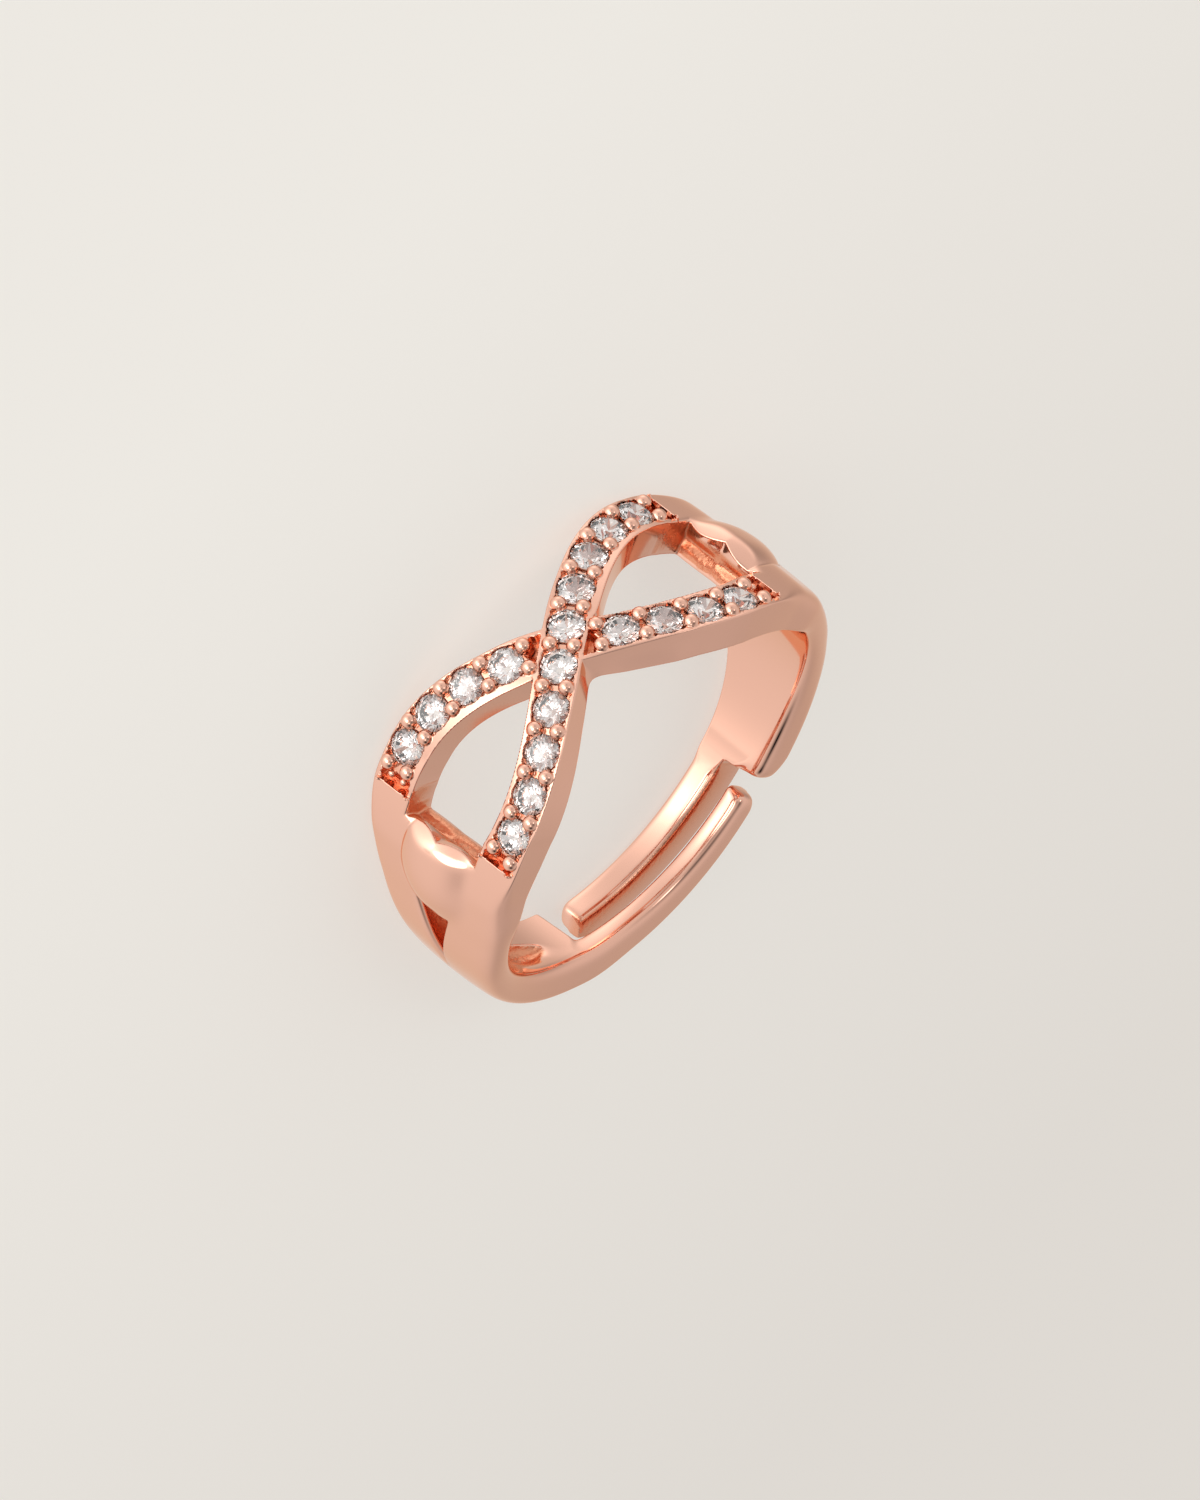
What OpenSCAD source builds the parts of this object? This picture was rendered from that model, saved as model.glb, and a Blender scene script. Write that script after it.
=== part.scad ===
// Adjustable infinity ring in pink cast metal. Two pave strands cross in a figure of eight
// over the finger, run on into a tapered shank and end in two tails that pass side by side.
// Places on the ring are given as (phi, a): phi is the angle round the finger from the crossing,
// in degrees, and a is the distance from the ring's middle plane, along the finger.

/* [Finger hole and band] */
// Radius of the finger hole
bore_r = 8.6; // [7.8:0.1:9.8]
// Thickness of the head, from the finger to the top of its rails
head_wall = 1.6; // [1.5:0.05:1.9]
// Thickness of the shank at its shoulders, where it is thinnest
shank_wall = 1.28; // [1.15:0.01:1.45]
// Thickness of the shank at the steps where the tails begin
step_wall = 1.68; // [1.4:0.02:1.8]
// Half of the shank's width where the tails begin
shank_half = 1.42; // [1.35:0.01:1.7]
// Bevel along the outer edges of the shank and on into its tails
edge_bevel = 0.38; // [0.2:0.02:0.5]

/* [Figure of eight] */
// Width of one strand
strand_w = 1.85; // [1.8:0.01:2.0]
// Distance of a strand's middle line from the middle plane, where its loop is widest
swing = 2.97; // [2.7:0.01:3.3]
// Distance round the head from the crossing to the widest place of a loop
loop_reach = 7.12; // [6.8:0.02:7.5]
// Distance round the head from the crossing to the lip that closes a loop
lip_reach = 9.64; // [9.4:0.02:10.2]
// Depth of the two lobes of that lip
lip_lobe = 0.18; // [0.1:0.02:0.5]
// How far the lip hangs over the foot of its wall
lip_overhang = 0.55; // [0.2:0.05:0.8]
// Half of the lip's width
lip_half = 1.82; // [1.6:0.01:1.95]

/* [Pillows and slots] */
// Height of a pillow above the shank's surface
pillow_rise = 0.78; // [0.5:0.02:0.9]
// Radius of the pillow's round face
pillow_ball = 2.95; // [2.7:0.05:3.4]
// Distance round the head from the crossing to the middle of a pillow
pillow_reach = 11; // [10.6:0.05:11.4]
// Distance round the head from the crossing to the wide end of a slot
slot_reach = 13.44; // [13:0.02:14]
// Length of a slot on the outside
slot_l = 4; // [3:0.1:5]
// Half of a slot's width at its wide end
slot_half = 0.86; // [0.6:0.02:0.95]
// How far the left slot runs on as a groove inside the band
groove_run = 3.6; // [1:0.1:4.5]

/* [Stones and beads] */
// Diameter of a stone
stone_d = 1.5; // [1.4:0.01:1.54]
// Distance from one stone to the next, along a strand
stone_pitch = 1.77; // [1.74:0.01:1.85]
// Distance from the crossing to the first stone of the strand that passes under
under_start = 2.36; // [2.3:0.01:2.5]
// Depth of a stone's girdle below the top of the rails
girdle_depth = 0.1; // [0.05:0.01:0.15]
// Clearance between a stone and its seat
seat_gap = 0.03; // [0.02:0.01:0.05]
// Radius of the hole drilled behind a stone
azure_r = 0.36; // [0.2:0.02:0.45]
// Diameter of a bead that grips the stones
bead_d = 0.5; // [0.4:0.01:0.52]
// Distance of a bead from the strand's middle line
bead_side = 0.56; // [0.54:0.01:0.62]
// Height of a bead's top above the rails
bead_rise = 0.2; // [0.1:0.01:0.3]
// Depth of the channel between the rails
channel_depth = 0.26; // [0.15:0.01:0.35]
// Width of a rail
rail_w = 0.21; // [0.15:0.01:0.25]
// Length of bare channel after the last stone
end_land = 0.66; // [0.5:0.02:0.8]

/* [Tails] */
// Distance round the finger from the middle of the back to the step where each tail starts
step_reach = 5.07; // [4:0.05:6]
// Width of the tail at the back of the ring
back_tail_w = 1.25; // [1:0.01:1.3]
// Width of the tail at the front of the ring
front_tail_w = 0.95; // [0.8:0.01:1.1]
// Thickness of a tail at its free end
tail_wall = 1.24; // [1:0.02:1.4]
// Gap between the end of the back tail and the step that it faces
back_tail_gap = 1.4; // [0.5:0.05:1.6]
// Gap between the end of the front tail and the step that it faces
front_tail_gap = 0.72; // [0.5:0.02:1.6]
// Bevel of each tail's outer edge beside the other tail
tail_bevel = 0.22; // [0.1:0.02:0.3]

/* [Hidden] */
$fn = 96;

rose_gold = [0.86, 0.62, 0.54];
stone_clear = [0.93, 0.92, 0.94];

// Radii that follow from the walls
head_r = bore_r + head_wall;
shank_r = bore_r + shank_wall;
tail_r = bore_r + tail_wall;
girdle_r = head_r - girdle_depth;
floor_r = head_r - channel_depth;
inside_r = bore_r - 1;
outside_r = head_r + 1;

// Angles round the finger that follow from the distances
function head_deg(reach) = reach / head_r * 180 / PI;
function bore_deg(reach) = reach / bore_r * 180 / PI;
peak_deg = head_deg(loop_reach);
lip_deg = head_deg(lip_reach);
slot_deg = head_deg(slot_reach);
slot_tip_deg = head_deg(slot_reach + slot_l);
step_deg = 180 - bore_deg(step_reach);

// Degrees from one section of a swept solid to the next
sweep_step = 4;

// A round through (r1, phi1) and (r2, phi2) whose middle lies off the finger's axis by off_c,
// towards the crossing
function off_c(r1, phi1, r2, phi2) = (pow(r1, 2) - pow(r2, 2)) / 2 / (r1 * cos(phi1) - r2 * cos(phi2));
function off_r(c, r, phi) = sqrt(pow(r, 2) - 2 * r * c * cos(phi) + pow(c, 2));
function off_at(c, r, phi) = c * cos(phi) + sqrt(pow(r, 2) - pow(c * sin(phi), 2));

// The metal falls from the head to its shoulders along one such round, and rises to the steps
// along another
fall_start = 1.78;
shoulder_start = 0.3;
rise_share = 0.3;
fall_deg = head_deg(loop_reach + fall_start);
shoulder_deg = head_deg(slot_reach + shoulder_start);
fall_c = off_c(head_r, fall_deg, shank_r, shoulder_deg);
fall_r = off_r(fall_c, head_r, fall_deg);
rise_deg = shoulder_deg + rise_share * (step_deg - shoulder_deg);
rise_c = off_c(bore_r + step_wall, step_deg, shank_r, rise_deg);
rise_r = off_r(rise_c, shank_r, rise_deg);
function round_r(phi) = min(head_r, max(shank_r, off_at(fall_c, fall_r, phi), off_at(rise_c, rise_r, phi)));

// The middle line of the strand that rises to the front on the +phi side; the other mirrors it
function line_a(phi) = swing * sin(90 * phi / peak_deg);
function line_slope(phi) = swing * 90 / peak_deg * cos(90 * phi / peak_deg) / head_r;
function widen(phi) = sqrt(1 + pow(line_slope(phi), 2));

// The angle at a distance along a strand from the crossing
walk_step = 0.05;
function walk(dist, phi = 0) = dist <= 0 ? phi
    : walk(dist - walk_step, phi + min(dist, walk_step) / widen(phi) / girdle_r * 180 / PI);

// Half of the band's outline: a strand's outer edge, then a smooth taper to the step
taper_from = 0.9 * peak_deg;
peak_half = swing + strand_w / 2;
function taper(phi) = 0.5 + 0.5 * cos(180 * (phi - taper_from) / (step_deg - taper_from));
function outline_half(phi) = abs(phi) < peak_deg
    ? line_a(abs(phi)) + strand_w / 2 * widen(phi)
    : shank_half + (peak_half - shank_half) * taper(abs(phi));
function loop_half(phi) = max(0, line_a(phi) - strand_w / 2 * widen(phi));

// A tail swells towards its root, up to the shank's surface, because its round is shifted that
// way, square to its free end
function tail_tip(end_gap) = 360 - step_deg - bore_deg(end_gap);
function tail_shift(end_gap) = (step_wall - tail_wall) / cos(90 - tail_tip(end_gap) + step_deg);
function tail_back(end_gap) = tail_r - tail_shift(end_gap) * cos(tail_tip(end_gap) - 90);

// The floor touches the band's edge on both sides of the head and the back tail's edge
rest_y = tail_back(back_tail_gap) - edge_bevel;
rest_tilt = atan(max([for (phi = [peak_deg : 2 : 100])
    (outline_half(phi) - shank_half) / (bore_r * cos(phi) + rest_y)]));
rest_lift = rest_y * sin(rest_tilt) + shank_half * cos(rest_tilt);
rest_shift = (head_r + bead_rise - tail_back(back_tail_gap)) / 2 * cos(rest_tilt);

// Stones along each strand, counted from the left end to the right end
over_count = 10;
under_count = 8;
function over_dist(i) = (i - (over_count + 1) / 2) * stone_pitch;
function under_dist(i) = i <= under_count / 2
    ? -(under_start + (under_count / 2 - i) * stone_pitch)
    : under_start + (i - under_count / 2 - 1) * stone_pitch;
function place(dist) = sign(dist) * walk(abs(dist));
last_dist = over_dist(over_count);
channel_deg = place(last_dist + stone_d / 2 + end_land);

function at(r, phi, a) = [-r * sin(phi), -r * cos(phi), a];

// Puts its children on the ring, with their Z along the radius at (phi, a)
module on_ring(phi, a) {
    rotate([0, 0, -90 - phi]) translate([0, 0, a]) rotate([0, 90, 0]) children();
}

// Turns its children half round the line from the finger to the crossing
module other_side() {
    rotate([0, 180, 0]) children();
}

// A solid swept round the finger: sections is a list of [phi, [[r, a], ...]]
module swept(sections) {
    n = len(sections[0][1]);
    last = len(sections) - 1;
    points = [for (s = sections) for (p = s[1]) at(p[0], s[0], p[1])];
    sides = [for (k = [0 : last - 1]) for (i = [0 : n - 1])
        let (j = (i + 1) % n)
        each [[k * n + i, k * n + j, (k + 1) * n + j], [k * n + i, (k + 1) * n + j, (k + 1) * n + i]]];
    caps = [[for (i = [n - 1 : -1 : 0]) i], [for (i = [0 : n - 1]) last * n + i]];
    polyhedron(points, concat(sides, caps), convexity = 8);
}

// A cutter whose walls run along the radius: levels is a list of [r, [[phi, a], ...]] and
// middle is a (phi, a) that sees the whole outline
module radial_cutter(levels, middle) {
    n = len(levels[0][1]);
    top = len(levels) - 1;
    points = concat(
        [for (l = levels) for (p = l[1]) at(l[0], p[0], p[1])],
        [at(levels[0][0], middle[0], middle[1]), at(levels[top][0], middle[0], middle[1])]);
    low = len(points) - 2;
    high = len(points) - 1;
    faces = concat(
        [for (k = [0 : top - 1]) for (i = [0 : n - 1])
            let (j = (i + 1) % n)
            each [[k * n + i, k * n + j, (k + 1) * n + j], [k * n + i, (k + 1) * n + j, (k + 1) * n + i]]],
        [for (i = [0 : n - 1]) [low, (i + 1) % n, i]],
        [for (i = [0 : n - 1]) [high, top * n + i, top * n + (i + 1) % n]]);
    polyhedron(points, faces, convexity = 8);
}

// Outline of the band, wider than the metal inside and outside. Its bevel starts clear of the
// metal beside the channels and grows into the shank's edge past them
bevel_clear = 0.05;
bevel_growth_deg = 16;
function bevel_share(phi) = min(1, max(0, (abs(phi) - channel_deg) / bevel_growth_deg));
function bevel_depth(phi) = (edge_bevel + bevel_clear) * bevel_share(phi) - bevel_clear;
function band_section(phi) =
    let (w = outline_half(phi),
        top_r = head_r + 4 * bevel_clear,
        bevel_r = min(top_r - bevel_clear, round_r(phi) - bevel_depth(phi)),
        top_w = w - (top_r - bevel_r))
    [[inside_r, -w], [inside_r, w], [bevel_r, w], [top_r, top_w], [top_r, -top_w], [bevel_r, -w]];

module band_outline() {
    count = 2 * ceil(step_deg / sweep_step);
    swept([for (k = [0 : count])
        let (phi = -step_deg + 2 * step_deg * k / count) [phi, band_section(phi)]]);
}

// The round of the metal, seen along the finger
module round_of_metal() {
    wide = 4 * peak_half;
    intersection() {
        cylinder(r = head_r, h = wide, center = true);
        union() {
            cylinder(r = shank_r, h = wide, center = true);
            translate([0, -fall_c, 0]) cylinder(r = fall_r, h = wide, center = true);
            translate([0, -rise_c, 0]) cylinder(r = rise_r, h = wide, center = true);
        }
    }
}

// A round pillow closes the gap between the strands, past each loop
module pillow() {
    on_ring(head_deg(pillow_reach), 0)
        translate([0, 0, shank_r + pillow_rise - pillow_ball]) sphere(r = pillow_ball);
}

// One loop's opening, from the crossing to the two-lobed lip of the pillow. Its sides follow the
// strands as far as corner_deg and run straight from there to the lip
module loop_opening() {
    tip = [for (phi = [1 : 0.25 : peak_deg]) if (loop_half(phi) > 0) phi][0];
    tip_half = 0.04;
    side_steps = 8;
    lobe_steps = 10;
    corner_deg = peak_deg + head_deg(1.25);
    side = [for (k = [0 : side_steps])
        let (phi = tip + (corner_deg - tip) * k / side_steps) [phi, max(tip_half, loop_half(phi))]];
    function lip(k, shift) =
        let (a = lip_half * (1 - 2 * k / lobe_steps))
        [lip_deg + shift - head_deg(lip_lobe) * abs(sin(180 * a / lip_half)), a];
    function outline(shift) = concat(
        [for (s = side) [s[0], -s[1]]],
        [for (k = [lobe_steps : -1 : 0]) lip(k, shift)],
        [for (k = [side_steps : -1 : 0]) side[k]]);
    slant = head_deg(lip_overhang) / head_wall;
    radial_cutter([
        [inside_r, outline(slant * (head_r - inside_r))],
        [outside_r, outline(slant * (head_r - outside_r))]],
        [peak_deg, 0]);
}

// The slot below a pillow: its sides bend in at waist_deg and then run to a narrow tip. run is how
// far the tip goes on as a groove inside the band
module slot(run) {
    tip_half = 0.03;
    waist_deg = slot_deg + 0.4 * (slot_tip_deg - slot_deg);
    waist_half = 0.52 * slot_half;
    function outline(tip) = [
        [slot_deg, -slot_half], [waist_deg, -waist_half], [tip, -tip_half],
        [tip, tip_half], [waist_deg, waist_half], [slot_deg, slot_half]];
    radial_cutter([
        [bore_r - 0.1, outline(slot_tip_deg + bore_deg(run))],
        [shank_r - 0.05, outline(slot_tip_deg)],
        [outside_r, outline(slot_tip_deg)]],
        [(slot_deg + waist_deg) / 2, 0]);
}

// The sunk channel along a strand, between its rails; flip is 1 for the strand that rises
// to the front on the +phi side and -1 for the other
module channel(flip, half, low_r) {
    count = 2 * ceil(channel_deg / sweep_step);
    swept([for (k = [0 : count])
        let (phi = channel_deg * (2 * k / count - 1),
            c = flip * line_a(phi),
            w = half * widen(phi))
        [phi, [[low_r, c - w], [low_r, c + w], [outside_r, c + w], [outside_r, c - w]]]]);
}

module channels() {
    half = strand_w / 2 - rail_w;
    channel(-1, half, floor_r);
    difference() {
        channel(1, half, floor_r);
        channel(-1, strand_w / 2, inside_r);
    }
}

// A stone's seat: a ledge for the girdle, a cone under it and a hole through to the finger
module seat() {
    wide = stone_d / 2 + seat_gap;
    ledge = girdle_r - stone_girdle - seat_gap;
    cone_h = (wide - azure_r) * tan(pavilion_angle);
    rotate_extrude() polygon([
        [0, inside_r], [azure_r, inside_r], [azure_r, ledge - cone_h],
        [wide, ledge], [wide, outside_r], [0, outside_r]]);
}

// A ball on a neck that is rooted in the channel's floor
module bead() {
    ball_r = head_r + bead_rise - bead_d / 2;
    root_r = floor_r - 0.1;
    translate([0, 0, ball_r]) sphere(d = bead_d, $fn = 48);
    translate([0, 0, root_r]) cylinder(d = 0.8 * bead_d, h = ball_r - root_r, $fn = 48);
}

// Two beads side by side across a strand, at a distance along it
module bead_pair(flip, dist) {
    phi = place(dist);
    turn = flip * atan(line_slope(phi));
    along = bead_side * sin(turn);
    across = bead_side * cos(turn);
    for (side = [-1, 1])
        on_ring(phi - side * head_deg(along), flip * line_a(phi) + side * across) bead();
}

module beads() {
    half = stone_pitch / 2;
    for (i = [1 : over_count + 1]) bead_pair(-1, over_dist(i) - half);
    for (i = [1 : under_count]) bead_pair(1, under_dist(i) + (i <= under_count / 2 ? -half : half));
    for (side = [-1, 1]) bead_pair(1, side * (under_start - half));
}

module seats() {
    for (i = [1 : over_count]) on_ring(place(over_dist(i)), -line_a(place(over_dist(i)))) seat();
    for (i = [1 : under_count]) on_ring(place(under_dist(i)), line_a(place(under_dist(i)))) seat();
}

// A tail is a bevelled bar round the finger, from inside the shank to its free end
module tail(width, end_gap) {
    root = step_deg - sweep_step;
    shift = tail_shift(end_gap);
    end = tail_tip(end_gap) + bore_deg(shift);
    translate(at(shift, tail_tip(end_gap) - 90, 0))
        rotate([0, 0, -90 - end]) rotate_extrude(angle = end - root) polygon([
            [inside_r, -shank_half],
            [tail_r - edge_bevel, -shank_half],
            [tail_r, -shank_half + edge_bevel],
            [tail_r, -shank_half + width - tail_bevel],
            [tail_r - tail_bevel, -shank_half + width],
            [inside_r, -shank_half + width]]);
}

module ring_band() {
    color(rose_gold)
    difference() {
        union() {
            difference() {
                union() {
                    intersection() {
                        round_of_metal();
                        band_outline();
                    }
                    pillow();
                    other_side() pillow();
                }
                loop_opening();
                other_side() loop_opening();
                slot(0.3);
                other_side() slot(groove_run);
                channels();
            }
            beads();
            tail(back_tail_w, back_tail_gap);
            other_side() tail(front_tail_w, front_tail_gap);
        }
        seats();
        cylinder(r = bore_r, h = 6 * peak_half, center = true, $fn = 180);
    }
}

// Proportions of a round brilliant, as shares of its girdle's radius
stone_girdle = 0.04;
crown_angle = 34.5;
pavilion_angle = 40.8;
table_share = 0.58;
star_share = 0.8;
lower_share = 0.24;

// A brilliant with its girdle's upper edge at height 0 and its table up
module brilliant() {
    r = stone_d / 2;
    star_x = star_share * cos(22.5);
    lower_x = lower_share * cos(22.5);
    function spot(share, turn, z) = [r * share * cos(turn), r * share * sin(turn), z];
    table_z = r * (1 - table_share) * tan(crown_angle);
    star_z = r * (1 - star_x) * tan(crown_angle);
    lower_z = -stone_girdle - r * (1 - lower_x) * tan(pavilion_angle);
    culet_z = -stone_girdle - r * tan(pavilion_angle);
    points = concat(
        [for (k = [0 : 7]) spot(table_share, 45 * k, table_z)],
        [for (k = [0 : 7]) spot(star_share, 45 * k + 22.5, star_z)],
        [for (k = [0 : 15]) spot(1, 22.5 * k, 0)],
        [for (k = [0 : 15]) spot(1, 22.5 * k, -stone_girdle)],
        [for (k = [0 : 7]) spot(lower_share, 45 * k + 22.5, lower_z)],
        [[0, 0, culet_z]]);
    stars = 8;
    top = 16;
    bottom = 32;
    lower = 48;
    culet = 56;
    faces = concat(
        [[for (k = [7 : -1 : 0]) k]],
        [for (k = [0 : 7]) [k, (k + 1) % 8, stars + k]],
        [for (k = [0 : 7]) [k, stars + k, top + 2 * k, stars + (k + 7) % 8]],
        [for (k = [0 : 7]) [stars + k, top + 2 * k + 1, top + 2 * k]],
        [for (k = [0 : 7]) [stars + k, top + (2 * k + 2) % 16, top + 2 * k + 1]],
        [for (k = [0 : 15]) [top + k, top + (k + 1) % 16, bottom + (k + 1) % 16, bottom + k]],
        [for (k = [0 : 7]) [lower + k, bottom + 2 * k, bottom + 2 * k + 1]],
        [for (k = [0 : 7]) [lower + k, bottom + 2 * k + 1, bottom + (2 * k + 2) % 16]],
        [for (k = [0 : 7]) [culet, lower + (k + 7) % 8, bottom + 2 * k, lower + k]]);
    polyhedron(points, faces, convexity = 4);
}

// The stone at a distance along a strand, in its seat
module stone(flip, dist) {
    phi = place(dist);
    color(stone_clear) on_ring(phi, flip * line_a(phi)) translate([0, 0, girdle_r]) brilliant();
}

// The ring as it lies on its side, tipped because its head is wider than its back
module at_rest() {
    translate([0, rest_shift, rest_lift]) rotate([-rest_tilt, 0, 0]) children();
}

at_rest() ring_band();
for (i = [1 : over_count])
    at_rest() stone(-1, over_dist(i));
for (i = [1 : under_count])
    at_rest() stone(1, under_dist(i));
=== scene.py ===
"""Infinity ring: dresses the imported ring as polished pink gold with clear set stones, on a pale floor."""
import logging
import math
from dataclasses import dataclass, field, replace
from enum import Enum

import bpy
import numpy as np
from mathutils import Matrix, Vector


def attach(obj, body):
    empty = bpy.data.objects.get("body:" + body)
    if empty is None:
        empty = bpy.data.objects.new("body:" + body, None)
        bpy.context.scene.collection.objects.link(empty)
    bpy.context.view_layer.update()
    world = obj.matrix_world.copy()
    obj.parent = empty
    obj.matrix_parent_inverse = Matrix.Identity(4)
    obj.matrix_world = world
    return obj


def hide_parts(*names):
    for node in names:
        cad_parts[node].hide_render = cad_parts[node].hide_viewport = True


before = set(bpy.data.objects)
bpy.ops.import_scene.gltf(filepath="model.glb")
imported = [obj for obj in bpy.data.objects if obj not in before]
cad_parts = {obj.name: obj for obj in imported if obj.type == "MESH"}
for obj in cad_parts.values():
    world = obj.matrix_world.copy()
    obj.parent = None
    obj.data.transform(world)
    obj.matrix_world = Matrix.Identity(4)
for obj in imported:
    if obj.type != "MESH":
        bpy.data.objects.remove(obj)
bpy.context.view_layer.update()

log = logging.getLogger("infinity_ring")
MM = 0.001
Array = np.ndarray
Pair = tuple[float, float]
Triple = Colour = tuple[float, float, float]
Bell = tuple[float, float, float]  # height, middle, width
Rise = tuple[float, float, float]  # height, where it starts, where it is full
Socket = bpy.types.NodeSocket


def smooth_max(a: Array, b: Array, k: Array | float) -> Array:
    """Joins two distances as a cut does, with the corner rounded over k.

    Args:
        a: One distance, in mm.
        b: The other distance.
        k: Width of the rounding.

    Returns:
        The larger distance, raised a little where the two are near each other.
    """
    h = np.maximum(k - np.abs(a - b), 0.0) / k
    return np.maximum(a, b) + h * h * h * k / 6.0


def smooth_min(a: Array, b: Array, k: Array | float) -> Array:
    """Joins two distances as a weld does, with the corner filled over k."""
    return -smooth_max(-a, -b, k)


def ease(x: Array, low: float, high: float) -> Array:
    """A share that eases from 0 at low to 1 at high."""
    t = np.clip((x - low) / (high - low), 0.0, 1.0)
    return t * t * (3.0 - 2.0 * t)


def mix(a: Array | float, b: Array | float, share: Array | float) -> Array:
    """Goes from a, where the share is 0, to b, where it is 1."""
    return a + (b - a) * share


def stretch(x: Array, rise: Pair, fall: Pair) -> Array:
    """A share that eases up over one stretch and down over a later one."""
    return ease(x, *rise) * (1.0 - ease(x, *fall))


def bell(x: Array, height: float, middle: float, wide: float) -> Array:
    """A smooth bell."""
    return height * np.exp(-((x - middle) / wide) ** 2)


class Strand(Enum):
    """The two strands, by the side of the ring that each rises to."""

    OVER = -1
    UNDER = 1


@dataclass
class RingSizes:
    """The ring's sizes in mm and degrees.

    They are the part's own, but the pillows' rise, the beads' three and the drilled holes' azure_r are fuller.
    """

    bore_r: float = 8.6
    head_wall: float = 1.6
    shank_wall: float = 1.28
    step_wall: float = 1.68
    shank_half: float = 1.42
    strand_w: float = 1.85
    swing: float = 2.97
    loop_reach: float = 7.12
    lip_reach: float = 9.64
    lip_half: float = 1.82
    corner_reach: float = 1.25
    pillow_rise: float = 0.82
    pillow_reach: float = 11.0
    slot_reach: float = 13.44
    slot_l: float = 4.0
    slot_half: float = 0.86
    over_stones: int = 10
    under_stones: int = 8
    stone_d: float = 1.5
    stone_pitch: float = 1.77
    under_start: float = 2.36
    girdle_depth: float = 0.1
    seat_gap: float = 0.03
    azure_r: float = 0.55
    stone_girdle: float = 0.04
    pavilion_deg: float = 40.8
    bead_d: float = 0.66
    bead_side: float = 0.49
    bead_rise: float = 0.28
    channel_depth: float = 0.26
    rail_w: float = 0.21
    end_land: float = 0.66
    step_reach: float = 5.07
    back_tail_w: float = 1.25
    front_tail_w: float = 0.95
    tail_wall: float = 1.24
    back_tail_gap: float = 1.4
    front_tail_gap: float = 0.72
    fall_start: float = 1.78
    shoulder_start: float = 0.3
    rise_share: float = 0.3
    rest_tilt: float = 8.94333
    rest_lift: float = 2.90667
    rest_shift: float = 0.170788

    def __post_init__(self) -> None:
        """Works out the radii and angles that follow from the sizes."""
        self.head_r = self.bore_r + self.head_wall
        self.shank_r = self.bore_r + self.shank_wall
        self.tail_r = self.bore_r + self.tail_wall
        self.girdle_r = self.head_r - self.girdle_depth
        self.floor_r = self.head_r - self.channel_depth
        self.peak = self.head_deg(self.loop_reach)
        self.lip = self.head_deg(self.lip_reach)
        self.corner = self.peak + self.head_deg(self.corner_reach)
        self.slot = self.head_deg(self.slot_reach)
        self.slot_tip = self.head_deg(self.slot_reach + self.slot_l)
        self.step = 180.0 - self.bore_deg(self.step_reach)
        self.peak_half = self.swing + self.strand_w / 2
        fall = self.head_deg(self.loop_reach + self.fall_start)
        shoulder = self.head_deg(self.slot_reach + self.shoulder_start)
        rise = shoulder + self.rise_share * (self.step - shoulder)
        self.fall_round = self.off_round(self.head_r, fall, self.shank_r, shoulder)
        self.rise_round = self.off_round(self.bore_r + self.step_wall, self.step, self.shank_r, rise)
        self.channel_end = self.place((self.over_stones - 1) / 2 * self.stone_pitch
                                      + self.stone_d / 2 + self.end_land)
        t = math.radians(self.rest_tilt)
        self.tilt = np.array([[1, 0, 0], [0, math.cos(t), math.sin(t)], [0, -math.sin(t), math.cos(t)]])
        self.shift = np.array([0, self.rest_shift, self.rest_lift])

    def head_deg(self, reach: float) -> float:
        """Degrees round the finger for a distance round the head."""
        return math.degrees(reach / self.head_r)

    def bore_deg(self, reach: float) -> float:
        """Degrees round the finger for a distance round the finger hole."""
        return math.degrees(reach / self.bore_r)

    @staticmethod
    def off_round(r1: float, deg1: float, r2: float, deg2: float) -> Pair:
        """The round through two places whose middle lies off the finger's axis.

        Args:
            r1: Radius of the first place.
            deg1: Its angle round the finger.
            r2: Radius of the second place.
            deg2: Its angle.

        Returns:
            How far its middle is off the axis, and its radius.
        """
        p1, p2 = math.radians(deg1), math.radians(deg2)
        c = (r1 ** 2 - r2 ** 2) / 2 / (r1 * math.cos(p1) - r2 * math.cos(p2))
        return c, math.sqrt(r1 ** 2 - 2 * r1 * c * math.cos(p1) + c ** 2)

    def line(self, deg: Array) -> Array:
        """Middle line of the under strand, as a distance along the finger."""
        return self.swing * np.sin(np.pi / 2 * deg / self.peak)

    def slope(self, deg: Array) -> Array:
        """Slope of that line against the distance round the head."""
        rad = math.radians(self.peak)
        return self.swing * (np.pi / 2) / rad * np.cos(np.pi / 2 * deg / self.peak) / self.head_r

    def widen(self, deg: Array) -> Array:
        """How much wider a strand is across the ring than across itself."""
        return np.sqrt(1.0 + self.slope(deg) ** 2)

    def place(self, distance: float) -> float:
        """The angle at a distance along a strand from the crossing."""
        walked, deg, step = 0.0, 0.0, 0.05
        while walked < abs(distance) - 1e-9:
            part = min(step, abs(distance) - walked)
            deg += math.degrees(part / float(self.widen(deg)) / self.girdle_r)
            walked += step
        return math.copysign(deg, distance)

    def over_places(self) -> list[float]:
        """Distances of the over strand's stones from the crossing."""
        return [(i - (self.over_stones - 1) / 2) * self.stone_pitch for i in range(self.over_stones)]

    def under_places(self) -> list[float]:
        """Distances of the under strand's stones from the crossing."""
        right = [self.under_start + i * self.stone_pitch for i in range(self.under_stones // 2)]
        return [-d for d in reversed(right)] + right

    def bead_places(self) -> list[tuple[Strand, float]]:
        """Each pair of beads, as its strand and its distance from the crossing."""
        half = self.stone_pitch / 2
        over = self.over_places()
        under = [d for d in self.under_places() if d > 0]
        right = [self.under_start - half] + [d + half for d in under]
        return ([(Strand.OVER, d - half) for d in over] + [(Strand.OVER, over[-1] + half)]
                + [(Strand.UNDER, -d) for d in right] + [(Strand.UNDER, d) for d in right])

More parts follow.
